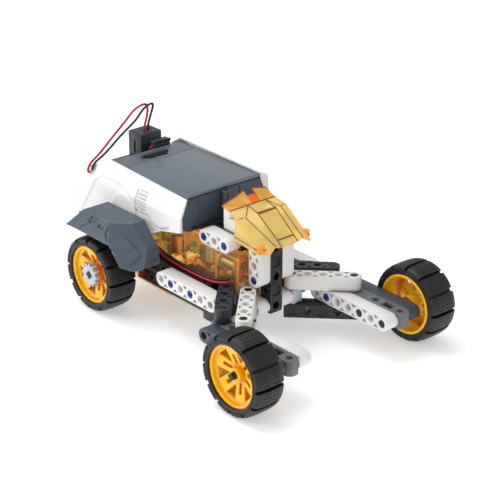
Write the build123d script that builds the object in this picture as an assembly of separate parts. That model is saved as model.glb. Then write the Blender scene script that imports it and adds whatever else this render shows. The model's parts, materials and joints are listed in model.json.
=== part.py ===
"""Solar rover built from a peg-and-hole kit.

Millimetres. +X is forward, +Y is the rover's left, +Z is up. The parts are laid out from the rear
axle line on the ground and then shifted by X_ORIGIN, so that the saved origin lies on the ground
under the middle of the overall length.
"""
import os
from math import atan2, cos, pi, radians, sin, sqrt

from build123d import *

# Kit system
PITCH = 10.0            # distance between neighbouring holes
BEAM = 9.8              # width and height of every beam
HALF = BEAM / 2
HOLE_R = 2.5
PIN_R = 2.4
AXLE_R = 2.4            # circle around the cross-shaped axle
AXLE_RIB = 1.8          # thickness of one arm of the cross
RUN = 0.06              # radial clearance of a running shaft
POCKET = 0.8            # depth of the weight-saving pockets
CELL = 6.4              # square pocket of the black beams
CELL_T = 1.0

# Layout
X_ORIGIN = 66.65
AXLE_Z = 26.0
WHEELBASE = 167.3
TOWER_X = 110.0
SHORT_BEAM_Y = 20.0
SHORT_BEAM_Z = 66.9
ARM_INNER_Y = 18.5
ARM_HOLES = 5
ARM_REACH = (ARM_HOLES - 1) * PITCH * cos(radians(45))
CARRIER_Y = ARM_INNER_Y + ARM_REACH
CARRIER_X = WHEELBASE - 5 * PITCH
CARRIER_HOLES = 7
WHITE_ARM_X = CARRIER_X + 2 * PITCH - ARM_REACH
SLATE_ARM_X = CARRIER_X - ARM_REACH
ARM_Z = 36.0
BLACK_ARM_Z = 16.0
UPPER_X = 73.0          # first hole of the upper frame and of the short beams
SIDE_BEAM_X = 53.3
SIDE_BEAM_Y = 40.0
SIDE_BEAM_Z = 36.2
RAIL_Y = 30.0           # black rails on both sides of the gearbox
LOW_RAIL_X = 20.0
HIGH_RAIL_X = 33.3
HIGH_RAIL_Z = 36.1
TIE_X = 90.0            # cross piece that ties the rails together under the gearbox

# Wheels
TYRE_R = 26.0
TYRE_W = 21.5
RIM_R = 20.0
RIM_LIP_R = 18.2
TREAD_BLOCKS = 12
RIM_RECESS = 1.8        # rim face behind the tyre's outer face
RIM_WIDTH = TYRE_W - RIM_RECESS
WEB_T = 3.0
WEB_DEPTH = 2.5         # outer edge of the rim's web behind its lip
WEB_CONE = 4.0          # how far the web sinks from there to the hub
HUB_R = 4.6
WINDOWS = 6             # wide rim windows, with as many narrow ones between them
WIDE_WINDOW = [(8.5, -0.6), (8.5, 0.6), (16.2, 4.0), (16.2, -4.0)]
NARROW_WINDOW = [(6.0, -0.9), (6.0, 0.9), (12.5, 1.3), (12.5, -1.3)]
LOCK_R = 6.8
LOCK_T = 3.5
LOCK_TEETH = 12
REAR_INNER_Y = 43.5     # inner face of a rear tyre
FRONT_INNER_Y = 62.2

# Gear train: every stage is a small gear on a large one
MODULE = 1.0
SMALL_TEETH = 12
LARGE_TEETH = 26
STAGE = MODULE * (SMALL_TEETH + LARGE_TEETH) / 2
GEAR_W = 4.0
STAGE_ANGLES = (50.0, 25.0, 0.0, 0.0)   # from the rear axle towards the motor
LAYERS_Y = (-5.0, 1.0, 7.0, 13.0)       # centre of each stage's gears

# Gearbox case
CASE_Y = 22.5
CASE_WALL = 1.6
CASE_OUTLINE = [
    (-16.5, 10), (34, 10), (34, 31.3), (83, 31.3), (83, 41.5), (103.5, 41.5), (103.5, 61.6),
    (64.5, 61.6), (62.5, 65), (0, 65), (-16.5, 46),
]

# Solar housing
PANEL_REAR_X = -18.4
PANEL_FRONT_X = 64.2
PANEL_Y = 30.2
LID_TOP_Z = 93.0
LID_SEAT_Z = 90.4       # top of the housing walls
LID_T = 2.3
FLOOR_Z = 68.5
HOUSING_FLANK = [(34.6, 79.0), (34.0, 70.5), (30.0, FLOOR_Z)]
BOSS_H = 12.2           # screw boss on the middle of the housing's front face
WALL = 2.0
DECK_REAR_X = -46.0
DECK_Z = 81.0
CELL_REAR_X = PANEL_REAR_X + 17.5
LATCH_X = PANEL_REAR_X + 11.0

# Side covers: outline from the side (x, z) and skin from behind (y, z)
SHELL_OUTLINE = [
    (PANEL_FRONT_X, 91.2), (-19.9, 95), (-42.5, 81), (-60, 57), (-57, 50.5), (-46, 50),
    (22, 56), (36, 60.5), (44, 64.8), (PANEL_FRONT_X, 69.5),
]
SHELL_SKIN = [(30.6, 96), (31.0, 91.2), (36.8, 78.4), (37.0, 66), (38.0, 49)]
SHELL_LIMIT = [(30.45, 100), (30.45, LID_SEAT_Z), (35, 79), (35, 40), (60, 40), (60, 100)]

# Mudguards: flat top, sloped ends and a flared skirt, in x, y, z
FENDER_INNER_Y = 40.2
FENDER_TOP_Z = 69.5
FENDER_T = 2.0
FENDER_FACES = [        # a point on each outer face and its outward direction
    ((0, 0, FENDER_TOP_Z), (0, 0, 1)),
    ((31.5, 0, FENDER_TOP_Z), (15, 0, 13.5)),
    ((45, 0, 54.5), (10.5, 0, 1.9)),
    ((-8.6, 0, FENDER_TOP_Z), (-13.8, 0, 14.4)),
    ((0, 60.5, FENDER_TOP_Z), (0, 0.949, 0.315)),
    ((31.7, 51.4, FENDER_TOP_Z), (0.577, 0.703, 0.415)),
]
FENDER_HEM = [(24.7, 56), (35.2, 43.4), (41, 42), (44, 42), (47.5, 43.6)]
FENDER_SKIRT_Z = 55.8

# Plug box behind the panel and its lead
PLUG_X = -32.0
PLUG_Y = 9.2
PLUG_TOP_Z = 102.3
PLUG_SIZE_X = 14.0
PLUG_SIZE_Y = 17.6
WIRE_R = 0.8
WIRE_HOLES_Y = (8.0, 11.2)

PARTS = {}


def keep(name, solid):
    """Remember a finished piece under its node name."""
    PARTS[name] = solid


def keep_pair(stem, left):
    """Remember a piece of the left side and its mirror image on the right."""
    keep(stem + "_left", left)
    keep(stem + "_right", mirror(left, Plane.XZ))


# ---------------------------------------------------------------- beams

def hole_row(count, radius=HOLE_R):
    return Sketch() + [Pos(PITCH * i, 0) * Circle(radius) for i in range(count)]


def pocket_row(count):
    """Small triangles between the holes, along both edges of a beam's face."""
    edge = HALF - 0.9
    pockets = Sketch()
    for i in range(count - 1):
        for side in (1, -1):
            middle = PITCH * (i + 0.5)
            corners = [(middle - 2.3, side * edge), (middle + 2.3, side * edge), (middle, side * 1.6)]
            pockets += make_face(Polyline(*corners, close=True))
    return pockets


def beam(count):
    """Round-ended beam along +X from its first hole at the origin, holes along Z."""
    length = (count - 1) * PITCH
    face = Pos(length / 2, 0) * SlotCenterToCenter(length, BEAM) - hole_row(count)
    core = extrude(face, BEAM / 2 - POCKET, both=True)
    skin = extrude(face - pocket_row(count), POCKET)
    return core + Pos(0, 0, BEAM / 2 - POCKET) * skin + Pos(0, 0, -BEAM / 2) * skin


def upright(solid):
    """Turn a beam's holes from vertical to sideways."""
    return Rot(90, 0, 0) * solid


def square_beam(count, overhang=HALF):
    """Square-ended black beam along +X.

    Cross-shaped holes and round holes alternate, and the faces without a hole have a square pocket.
    """
    length = (count - 1) * PITCH + 2 * overhang
    body = Pos(length / 2 - overhang, 0, 0) * Box(length, BEAM, BEAM)
    for i in range(count):
        place = Pos(i * PITCH, 0, 0)
        if i % 2:
            body -= place * Rot(90, 0, 0) * extrude(cross_section(RUN), BEAM, both=True)
            for side in (1, -1):
                body -= place * Pos(0, 0, side * (HALF - CELL_T / 2)) * Box(CELL, CELL, CELL_T)
        else:
            body -= place * Cylinder(HOLE_R, BEAM * 2)
            for side in (1, -1):
                body -= place * Pos(0, side * (HALF - CELL_T / 2), 0) * Box(CELL, CELL_T, CELL)
    return body


def cross_section(clearance=0.0):
    """Cross of the kit's axles, drawn in the XY plane."""
    reach = 2 * (AXLE_R + clearance)
    rib = AXLE_RIB + 2 * clearance
    cross = Rectangle(reach, rib) + Rectangle(rib, reach)
    return cross & Circle(AXLE_R + clearance)


def cross_axle(length, clearance=0.0):
    """Cross-shaped bar along +Y from the origin."""
    return Rot(-90, 0, 0) * extrude(cross_section(clearance), length)


def round_bar(radius, length):
    """Cylinder along +Y from the origin."""
    return Rot(-90, 0, 0) * Cylinder(radius, length, align=(Align.CENTER, Align.CENTER, Align.MIN))


# ---------------------------------------------------------------- wheels

def tyre():
    """Tyre with its inner face at y = 0, axis along Y."""
    body = round_bar(TYRE_R, TYRE_W) - round_bar(RIM_R + 0.05, TYRE_W)
    body = chamfer(body.edges().filter_by(GeomType.CIRCLE).group_by(SortBy.RADIUS)[-1], 1.2)
    for i in range(TREAD_BLOCKS):
        groove = Pos(TYRE_R, TYRE_W / 2, 0) * Box(4.4, TYRE_W + 1, 2.0)
        body -= Rot(0, 360 / TREAD_BLOCKS * i, 0) * groove
    return body


def rim_web():
    """Conical web with its windows; the outer edge of its outer face is at y = 0."""
    edge_r = RIM_LIP_R + 0.4
    below = (Align.CENTER, Align.CENTER, Align.MAX)
    cone = Rot(-90, 0, 0) * Cone(HUB_R - 0.4, edge_r, WEB_CONE, align=below)
    web = Pos(0, -WEB_T, 0) * (cone + round_bar(edge_r, WEB_T)) - cone
    for i in range(WINDOWS):
        for turn, window in ((-0.25, WIDE_WINDOW), (0.25, NARROW_WINDOW)):
            cutter = extrude(make_face(Polyline(*window, close=True)), WEB_T + WEB_CONE + 1, both=True)
            web -= Rot(0, 360 / WINDOWS * (i + turn), 0) * Rot(-90, 0, 0) * cutter
    return web


def rim():
    """Dished rim; inner face at y = 0, outer face towards +Y."""
    body = round_bar(RIM_R, RIM_WIDTH) - round_bar(RIM_LIP_R, RIM_WIDTH)
    body += Pos(0, RIM_WIDTH - WEB_DEPTH, 0) * rim_web()
    body += Pos(0, 3, 0) * round_bar(HUB_R, RIM_WIDTH - WEB_DEPTH - 3)
    return body - Pos(0, -1, 0) * cross_axle(RIM_WIDTH + 2, 0.03)


def hub_lock():
    """Toothed hub that holds a rear wheel on its axle."""
    body = round_bar(LOCK_R, LOCK_T)
    for i in range(LOCK_TEETH):
        body += Rot(0, 360 / LOCK_TEETH * i, 0) * Pos(LOCK_R, LOCK_T / 2, 0) * Box(2.6, LOCK_T, 1.7)
    return body - Pos(0, -1, 0) * cross_axle(LOCK_T + 2, 0.03)


def wheels():
    for name, x, inner_y in (("rear", 0.0, REAR_INNER_Y), ("front", WHEELBASE, FRONT_INNER_Y)):
        place = Pos(x, inner_y, AXLE_Z)
        keep_pair("tyre_" + name, place * tyre())
        keep_pair("rim_" + name, place * rim())
    hub_y = REAR_INNER_Y + RIM_WIDTH - WEB_DEPTH
    lock = Pos(0, hub_y + 0.05, AXLE_Z) * hub_lock()
    keep("hub_locks", Compound(children=[lock, mirror(lock, Plane.XZ)]))
    reach = hub_y + LOCK_T + 0.8
    keep("rear_axle", Pos(0, -reach, AXLE_Z) * cross_axle(2 * reach))
    stub = CARRIER_Y - HALF + 0.4
    length = FRONT_INNER_Y + RIM_WIDTH + 0.6 - stub
    keep_pair("front_axle", Pos(WHEELBASE, stub, AXLE_Z) * cross_axle(length))


# ---------------------------------------------------------------- gears

def flank(radius, base):
    """Angle swept by an involute from its base circle out to a radius."""
    if radius <= base:
        return 0.0
    roll = sqrt((radius / base) ** 2 - 1)
    return roll - atan2(roll, 1.0)


def gear_face(teeth):
    """Involute gear outline in the XY plane with the middle of a tooth on +X."""
    pitch_r = MODULE * teeth / 2
    base = pitch_r * cos(radians(20))
    root = pitch_r - 1.25 * MODULE
    tip = pitch_r + 0.85 * MODULE
    backlash = 0.24
    half_tooth = (pi * MODULE / 2 - backlash) / 2 / pitch_r + flank(pitch_r, base)
    radii = [root, max(root, base), (base + pitch_r) / 2 + 0.2, pitch_r + 0.3, tip]
    points = []
    for i in range(teeth):
        middle = 2 * pi * i / teeth
        for radius in radii:
            points.append((radius, middle - half_tooth + flank(radius, base)))
        for radius in reversed(radii):
            points.append((radius, middle + half_tooth - flank(radius, base)))
    return make_face(Polyline(*[(r * cos(a), r * sin(a)) for r, a in points], close=True))


def gear(teeth, turn, width=GEAR_W):
    """Gear centred on the origin with its axis along Y; turn is the first tooth's angle from +X to +Z."""
    return Rot(90, 0, 0) * extrude(Rot(0, 0, turn) * gear_face(teeth), width / 2, both=True)


def stage_centres():
    """Shaft positions (x, z) from the rear axle to the motor."""
    centres = [(0.0, AXLE_Z)]
    for angle in STAGE_ANGLES:
        x, z = centres[-1]
        centres.append((x + STAGE * cos(radians(angle)), z + STAGE * sin(radians(angle))))
    return centres


def gear_train():
    """Meshed gears from the rear axle to the motor pinion, each stage in its own layer."""
    centres = stage_centres()
    gap = 180 / SMALL_TEETH
    names = ("axle_gear", "gear_slow", "gear_middle", "gear_fast", "motor_pinion")
    for i, name in enumerate(names):
        x, z = centres[i]
        solid = Part()
        if i < len(STAGE_ANGLES):
            # A large gear turns one tooth towards the next, smaller gear.
            solid += Pos(x, LAYERS_Y[i], z) * gear(LARGE_TEETH, STAGE_ANGLES[i])
        if i > 0:
            # The small gear opens a tooth gap towards the large gear before it.
            solid += Pos(x, LAYERS_Y[i - 1], z) * gear(SMALL_TEETH, STAGE_ANGLES[i - 1] + 180 + gap)
        if name == "axle_gear":
            solid -= Pos(0, LAYERS_Y[0] - GEAR_W, AXLE_Z) * cross_axle(2 * GEAR_W, 0.03)
        elif name == "motor_pinion":
            solid += Pos(x, 8.5, z) * round_bar(1.0, 4.5)
        else:
            shaft = 2 * (CASE_Y - CASE_WALL) - 0.4
            solid += Pos(x, -shaft / 2, z) * round_bar(1.5, shaft)
            solid += Pos(x, LAYERS_Y[i - 1], z) * round_bar(3.2, LAYERS_Y[i] - LAYERS_Y[i - 1])
        keep(name, solid)


def motor():
    x, z = stage_centres()[-1]
    can = Pos(x, -16, z) * round_bar(10.0, 23.0) & Pos(x, 0, z) * Box(20, 60, 15.4)
    can += Pos(x, 7, z) * round_bar(3.0, 1.2)
    keep("motor", can - Pos(x, 7.4, z) * round_bar(1.0 + RUN, 3))


def gearbox_case():
    """Two hollow half shells that meet on the centre plane."""
    outline = make_face(Polyline(*CASE_OUTLINE, close=True))
    inside = offset(outline, amount=-CASE_WALL)
    half = Plane.XZ * extrude(outline, -(CASE_Y - 0.02))
    cavity = Plane.XZ * extrude(inside, -(CASE_Y - CASE_WALL))
    half = half - cavity
    for x, z in stage_centres()[1:4]:
        wall_y = CASE_Y - CASE_WALL
        half += Pos(x, wall_y - 2.5, z) * (round_bar(3.6, 2.6) - round_bar(1.5 + RUN, 2.3))
    half -= Pos(0, CASE_Y - 5, AXLE_Z) * round_bar(AXLE_R + RUN, 10)
    half = Pos(0, 0.02, 0) * half
    keep("gearbox_case_left", half)
    right = mirror(half, Plane.XZ)
    wire_hole = Pos(98, -CASE_Y - 1, 46) * round_bar(2.4, 4)
    keep("gearbox_case_right", right - wire_hole)


# ---------------------------------------------------------------- frame

def side_beam():
    """Outer white beam; its front end is cut to lie against the slate outrigger."""
    body = Pos(SIDE_BEAM_X, SIDE_BEAM_Y, SIDE_BEAM_Z) * upright(beam(6))
    arm_line = CARRIER_X - CARRIER_Y - HALF / cos(radians(45)) - 0.3
    wedge = [(arm_line + 20, 20), (arm_line + 60, 60), (150, 60), (150, 20)]
    return body - extrude(make_face(Polyline(*wedge, close=True)), 60)


def base_frame():
    """Black ladder frame: two tall rails tied together under the gearbox."""
    low = Pos(LOW_RAIL_X, RAIL_Y, AXLE_Z) * square_beam(9)
    high = Pos(HIGH_RAIL_X, RAIL_Y, HIGH_RAIL_Z) * square_beam(6)
    seam = Pos(60, RAIL_Y, (AXLE_Z + HIGH_RAIL_Z) / 2) * Box(40, BEAM - 0.8, 1.0)
    rail = low + high + seam
    solid = rail + mirror(rail, Plane.XZ)
    solid += Pos(TIE_X, 0, 17.2) * Box(12, 2 * RAIL_Y, 7.4)
    holes = [(SIDE_BEAM_X + PITCH * i, SIDE_BEAM_Z) for i in (-1, 1, 3)] + [(LOW_RAIL_X, AXLE_Z)]
    for side in (1, -1):
        solid += Pos(TIE_X, side * RAIL_Y, 19.5) * Box(12, BEAM, 6)
        for x, z in holes:
            solid -= Pos(x, side * RAIL_Y - 6, z) * round_bar(HOLE_R, 12)
    return solid


def upper_frame():
    """Black rails between the solar housing and the tower with a cross piece."""
    rail = Pos(UPPER_X, PITCH, SHORT_BEAM_Z) * square_beam(3)
    solid = rail + mirror(rail, Plane.XZ)
    solid += Pos(UPPER_X - 3, 0, SHORT_BEAM_Z) * Box(4, 12, BEAM - 2)
    for x in (UPPER_X, UPPER_X + 2 * PITCH):
        solid -= Pos(x, -20, SHORT_BEAM_Z) * round_bar(HOLE_R, 40)
    return solid


def tower():
    """Pillar with a beam on each side, and the block that carries the canopy."""
    on_end = Rot(0, -90, 0)
    keep("tower_pillar", Pos(TOWER_X, 0, AXLE_Z) * on_end * square_beam(5))
    keep_pair("tower_beam", Pos(TOWER_X, PITCH, AXLE_Z + 2 * PITCH) * on_end * upright(beam(3)))
    corner_r = 4.5
    width = 3 * PITCH - 0.4
    low = Pos(UPPER_X + 2 * PITCH, 0, 76.4) * Box(width + 0.2, width, 8.6)
    high = Pos(UPPER_X + PITCH, 0, 83.8) * Box(BEAM, width, 7.4)
    mount = fillet(low.edges().filter_by(Axis.Z), corner_r)
    mount += fillet(high.edges().filter_by(Axis.Z), corner_r)
    for i in (1, 2, 3):
        for y in (-PITCH, PITCH):
            mount -= Pos(UPPER_X + PITCH * i, y, 82) * Cylinder(HOLE_R, 30)
    keep("canopy_mount", mount)


def outriggers():
    """Diagonal arms in three layers and the blocks between them."""
    turn = Rot(0, 0, 45)
    keep_pair("arm_white", Pos(WHITE_ARM_X, ARM_INNER_Y, ARM_Z) * turn * beam(ARM_HOLES))
    keep_pair("arm_slate", Pos(SLATE_ARM_X, ARM_INNER_Y, ARM_Z) * turn * beam(ARM_HOLES))
    keep_pair("arm_black", Pos(WHITE_ARM_X, ARM_INNER_Y, BLACK_ARM_Z) * turn * square_beam(ARM_HOLES))
    blocks = []
    for x in (WHITE_ARM_X, SLATE_ARM_X):
        block = Pos(x, 19.2, AXLE_Z) * Box(BEAM, 8.2, BEAM)
        block -= Pos(x, ARM_INNER_Y, AXLE_Z) * Cylinder(HOLE_R, 20)
        blocks += [block, mirror(block, Plane.XZ)]
    keep("arm_blocks", Compound(children=blocks))


def carriers():
    """Front wheel carriers: a white beam, a grey bracket and a slate rail side by side."""
    last = (CARRIER_HOLES - 1) * PITCH
    keep_pair("wheel_beam", Pos(CARRIER_X, CARRIER_Y - PITCH, AXLE_Z) * upright(beam(CARRIER_HOLES)))
    rail = Pos(CARRIER_X, CARRIER_Y + PITCH, AXLE_Z) * upright(beam(CARRIER_HOLES))
    keep_pair("wheel_rail", rail)
    length = last + BEAM + 2
    bracket = Pos(CARRIER_X + last / 2 + 1, CARRIER_Y, AXLE_Z) * Box(length, BEAM, BEAM)
    front = bracket.edges().filter_by(Axis.Z).sort_by(Axis.X)[-2:]
    bracket = chamfer(front, 2.6)
    for i in (0, 1, 2, 4):
        bracket -= Pos(CARRIER_X + i * PITCH, CARRIER_Y, AXLE_Z) * Cylinder(HOLE_R, 20)
    bracket -= Pos(CARRIER_X + 5.1 * PITCH, CARRIER_Y, AXLE_Z) * Box(8.4, 5.4, 20)
    bracket -= Pos(CARRIER_X + 6 * PITCH + 1.4, CARRIER_Y, AXLE_Z) * Cylinder(2.2, 20)
    for i in (1, 4, 6):
        bracket -= Pos(CARRIER_X + i * PITCH, CARRIER_Y - HALF - 1, AXLE_Z) * round_bar(HOLE_R, 4.4)
    bracket -= Pos(WHEELBASE, CARRIER_Y - HALF - 1, AXLE_Z) * round_bar(AXLE_R + RUN, BEAM + 2)
    keep_pair("wheel_bracket", bracket)


def pin(length, radius=PIN_R):
    """Round peg along +Y from the origin with a split at its visible end."""
    body = round_bar(radius, length)
    return body - Pos(0, 0.6, 0) * Box(radius * 2, 1.2, 0.9)


def both_sides(pieces):
    """Pieces of the left side together with their mirror images."""
    return pieces + [mirror(piece, Plane.XZ) for piece in pieces]


def fasteners():
    """All pegs of one colour form one node each."""
    peg = mirror(pin(19.0), Plane.XZ)
    carrier_y = CARRIER_Y - PITCH - HALF - 0.3
    blue = [Pos(UPPER_X + i * PITCH, SHORT_BEAM_Y + 5.2, SHORT_BEAM_Z) * peg for i in (0, 2)]
    blue += [Pos(SIDE_BEAM_X + i * PITCH, SIDE_BEAM_Y + 5.2, SIDE_BEAM_Z) * peg for i in (1, 3)]
    blue.append(Pos(TOWER_X, PITCH + 5.2, AXLE_Z + 2 * PITCH) * mirror(pin(10.0), Plane.XZ))
    blue.append(Pos(CARRIER_X + PITCH, carrier_y, AXLE_Z) * pin(13.0))
    keep("blue_pins", Compound(children=both_sides(blue)))
    dark = [Pos(CARRIER_X + i * PITCH, carrier_y, AXLE_Z) * cross_axle(13.0) for i in (4, 6)]
    post = Rot(90, 0, 0) * cross_axle(19.0)
    for x in (WHITE_ARM_X, SLATE_ARM_X):
        dark += [Pos(x + reach, ARM_INNER_Y + reach, 22.0) * post for reach in (0, ARM_REACH)]
    keep("cross_pins", Compound(children=both_sides(dark)))
    red = Pos(LOW_RAIL_X, RAIL_Y + 5.5, AXLE_Z) * mirror(pin(9.5), Plane.XZ)
    keep("red_pins", Compound(children=both_sides([red])))


def frame():
    keep_pair("side_beam", side_beam())
    keep_pair("lower_beam", Pos(2 * LOW_RAIL_X, PITCH, AXLE_Z) * upright(beam(8)))
    keep_pair("short_beam", Pos(UPPER_X, SHORT_BEAM_Y, SHORT_BEAM_Z) * upright(beam(3)))
    keep("base_frame", base_frame())
    keep("upper_frame", upper_frame())


# ---------------------------------------------------------------- housing and panel

def housing_section(inset=0.0):
    """Half-open hexagonal section of the housing in Y and Z."""
    half = [(PANEL_Y, LID_SEAT_Z), *HOUSING_FLANK]
    points = half + [(-y, z) for y, z in reversed(half)]
    face = make_face(Polyline(*points, close=True))
    return offset(face, amount=-inset) if inset else face


def panel_housing():
    """Hollow box under the panel, the closed deck behind it and a screw boss on its front."""
    length = PANEL_FRONT_X - PANEL_REAR_X - 0.4
    middle_x = (PANEL_REAR_X + PANEL_FRONT_X) / 2
    place = Plane((PANEL_REAR_X + 0.2, 0, 0), x_dir=(0, 1, 0), z_dir=(1, 0, 0))
    body = place * extrude(housing_section(), length)
    body -= Pos(WALL, 0, 0) * (place * extrude(housing_section(WALL), length - 2 * WALL))
    body -= Pos(middle_x, 0, LID_SEAT_Z) * Box(length - 2 * WALL, 2 * (PANEL_Y - WALL), 12)
    deck_l = PANEL_REAR_X - DECK_REAR_X + 0.4
    deck_h = DECK_Z - FLOOR_Z
    deck = Box(deck_l, 56, deck_h) - Box(deck_l - 4, 52, deck_h - 4)
    body += Pos((DECK_REAR_X + PANEL_REAR_X) / 2, 0, (DECK_Z + FLOOR_Z) / 2) * deck
    boss = Cylinder(3.0, BOSS_H) - Cylinder(1.5, BOSS_H + 1)
    boss -= Pos(-6.6, 0, 0) * Box(10, 10, BOSS_H + 1)
    return body + Pos(PANEL_FRONT_X + 1.4, 0, LID_SEAT_Z - 0.4 - BOSS_H / 2) * boss


def solar_panel():
    """Lid, glossy cell and finger latch, all modelled closed. The lid hinges on its front edge."""
    length = PANEL_FRONT_X - PANEL_REAR_X
    middle_x = (PANEL_FRONT_X + PANEL_REAR_X) / 2
    lid = Pos(middle_x, 0, LID_TOP_Z - LID_T / 2) * Box(length, 2 * PANEL_Y, LID_T)
    lid = chamfer(lid.edges().group_by(Axis.Z)[-1], 0.5)
    front_edge = lid.edges().filter_by(Axis.Y).group_by(Axis.Z)[0].sort_by(Axis.X)[-1]
    lid = fillet(front_edge, LID_T / 2)
    cell_l = PANEL_FRONT_X - 1.8 - CELL_REAR_X
    cell_w = 2 * PANEL_Y - 3.2
    cell_x = CELL_REAR_X + cell_l / 2
    lid -= Pos(cell_x, 0, LID_TOP_Z) * Box(cell_l, cell_w, 1.6)
    lid -= Pos(LATCH_X, 0, LID_TOP_Z) * Box(7.4, 16.4, 2.0)
    keep("solar_lid", lid)
    keep("solar_cell", Pos(cell_x, 0, LID_TOP_Z - 0.35) * Box(cell_l - 0.2, cell_w - 0.2, 0.75))
    foot = Pos(0, 0, -0.45) * Box(3.4, 16, 1.0)
    grip = Pos(0, 0, 0.85) * Box(2.8, 21, 1.6)
    keep("lid_latch", Pos(LATCH_X - 1.6, 0, LID_TOP_Z + 0.05) * (foot + grip))


def body_shell():
    """Left side cover: a thin skin with a fold at mid-height, closed along its outline."""
    outline = make_face(Polyline(*SHELL_OUTLINE, close=True))
    block = Plane.XZ * extrude(outline, -41)
    cavity = Plane.XZ * extrude(offset(outline, amount=-WALL), -41)
    place = Plane((-70, 0, 0), x_dir=(0, 1, 0), z_dir=(1, 0, 0))

    def across(points):
        return place * extrude(make_face(Polyline(*points, close=True)), 140)

    inside = [(y - WALL, z) for y, z in SHELL_SKIN]
    solid = block & across(SHELL_SKIN + [(0, 49), (0, 96)])
    hollow = across(inside + [(0, 49), (0, 96)])
    limit = across(SHELL_LIMIT)
    return ((solid - hollow) & limit) + ((solid - cavity) & limit)


def fender():
    """Left mudguard over the rear wheel: a faceted hood, open towards the wheel and the body."""
    hood = Pos(15, 60, 55) * Box(90, 60, 40)
    hood = split(hood, bisect_by=Plane((0, FENDER_INNER_Y, 0), z_dir=(0, -1, 0)), keep=Keep.BOTTOM)
    for point, direction in FENDER_FACES:
        hood = split(hood, bisect_by=Plane(point, z_dir=direction), keep=Keep.BOTTOM)
    hood -= Pos(0, -0.65 * FENDER_T, -FENDER_T) * hood
    below = [(-60, FENDER_SKIRT_Z)] + FENDER_HEM + [(60, 43.6), (60, 20), (-60, 20)]
    return hood - Plane.XZ * extrude(make_face(Polyline(*below, close=True)), -90)


def plug_box():
    """Box with a ledge towards the panel and two wire holes in its top."""
    height = PLUG_TOP_Z - DECK_Z
    body = Pos(PLUG_X, PLUG_Y, DECK_Z + height / 2) * Box(PLUG_SIZE_X, PLUG_SIZE_Y, height)
    body = chamfer(body.edges().group_by(Axis.Z)[-1], 0.6)
    body -= Pos(PLUG_X, PLUG_Y - PLUG_SIZE_Y / 2, 92) * Box(2.0, 1.2, 9)
    ledge = Box(6.4, 13.0, 6.4) - Pos(3.3, -4, 0) * Rot(0, 90, 0) * Cylinder(1.6, 3)
    body += Pos(PLUG_X + PLUG_SIZE_X / 2 + 2.8, PLUG_Y + 5.3, 88.6) * ledge
    for y in WIRE_HOLES_Y:
        body -= Pos(PLUG_X + 1, y, PLUG_TOP_Z) * Cylinder(WIRE_R + 0.4, 8)
    return body


def cable(points):
    """Round wire along a smooth line through the points."""
    path = Spline(*points)
    section = Plane(path @ 0, z_dir=path % 0) * Circle(WIRE_R)
    return sweep(section, path=path)


def cables():
    """Each conductor shows twice: the loop behind the panel and the run beside the gearbox."""
    start_x = PLUG_X + 1
    red_y, black_y = WIRE_HOLES_Y
    loops = {
        "cable_red": [
            (start_x, red_y, 99.5), (start_x, red_y, 104), (-32.4, 12.2, 114.5), (-34, 12.4, 119.2),
            (-34.5, 8.6, 119.4), (-34.5, -3.9, 112.2), (-34.5, -18.4, 100.6), (-34.5, -30, 91.6),
            (-34.6, -36.4, 86.4), (-34.6, -37.4, 83.4), (-34.6, -36.3, 81.8),
        ],
        "cable_black": [
            (start_x, black_y, 99.5), (start_x, black_y, 104), (-31.3, 15.2, 114.9),
            (-32, 16.4, 119.4), (-32, 13.4, 119.5), (-32, 2.9, 112), (-32, -6.7, 105.6),
            (-32, -16.2, 99.2), (-32, -28.2, 91.4), (-32.2, -34.4, 87.4), (-32.3, -35.9, 83.8),
        ],
    }
    runs = {"cable_red": (42.1, 0.9), "cable_black": (43.8, 0.0)}
    for name, loop in loops.items():
        z, bow = runs[name]
        run = [(24, -25.2 - bow, z), (40, -28.6 - bow, z), (62, -30.4 - bow, z), (80, -30.0 - bow, z),
               (92, -27.6 - bow, z + 0.6), (98, -24.2 - bow * 0.4, z + 2)]
        keep(name, Compound(children=[cable(loop), cable(run)]))


# ---------------------------------------------------------------- canopy

def canopy():
    """Faceted windshield: sections across the rover joined by flat facets."""
    t = 1.5
    sections = [
        (79.5, [(0, 97.0), (12.0, 96.2), (19.6, 91.0), (20.2, 89.0)]),
        (94.5, [(0, 91.6), (7.2, 91.2), (18.9, 88.6), (21.0, 80.0)]),
        (104.0, [(0, 88.9), (7.2, 88.6), (14.3, 85.6), (21.2, 71.5)]),
        (123.0, [(0, 76.2), (7.0, 75.8), (11.6, 75.2), (18.6, 70.2)]),
        (127.6, [(0, 73.4), (6.8, 73.0), (11.3, 73.6), (17.0, 71.0)]),
    ]
    faces = []
    for x, half in sections:
        under = [(y * (1 - t / 24), z - t) for y, z in half]
        right = [(-y, z) for y, z in reversed(half[1:])]
        under_right = [(-y, z) for y, z in under[1:]]
        outline = right + half + list(reversed(under)) + under_right
        place = Plane((x, 0, 0), x_dir=(0, 1, 0), z_dir=(1, 0, 0))
        faces.append((place * make_face(Polyline(*outline, close=True))).face())
    return loft(faces, ruled=True)


def body():
    """Housing, covers, mudguards, plug box, lead and canopy."""
    keep("panel_housing", panel_housing())
    solar_panel()
    keep_pair("body_shell", body_shell())
    keep_pair("fender", fender())
    keep("plug_box", plug_box())
    cables()
    keep("canopy", canopy())


def main():
    os.makedirs("parts", exist_ok=True)
    wheels()
    gear_train()
    motor()
    gearbox_case()
    frame()
    tower()
    outriggers()
    carriers()
    fasteners()
    body()
    for name, solid in PARTS.items():
        export_step(Pos(-X_ORIGIN, 0, 0) * solid, f"parts/{name}.step")


main()
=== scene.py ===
"""Looks of the solar rover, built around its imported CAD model.

Lengths are written in millimetres from the point on the ground under the rear axle: +X forward, +Y to
the rover's left, +Z up. at() turns them into the frame's metres.
"""
import json
import math

import bmesh
import bpy
from mathutils import Matrix, Vector


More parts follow.
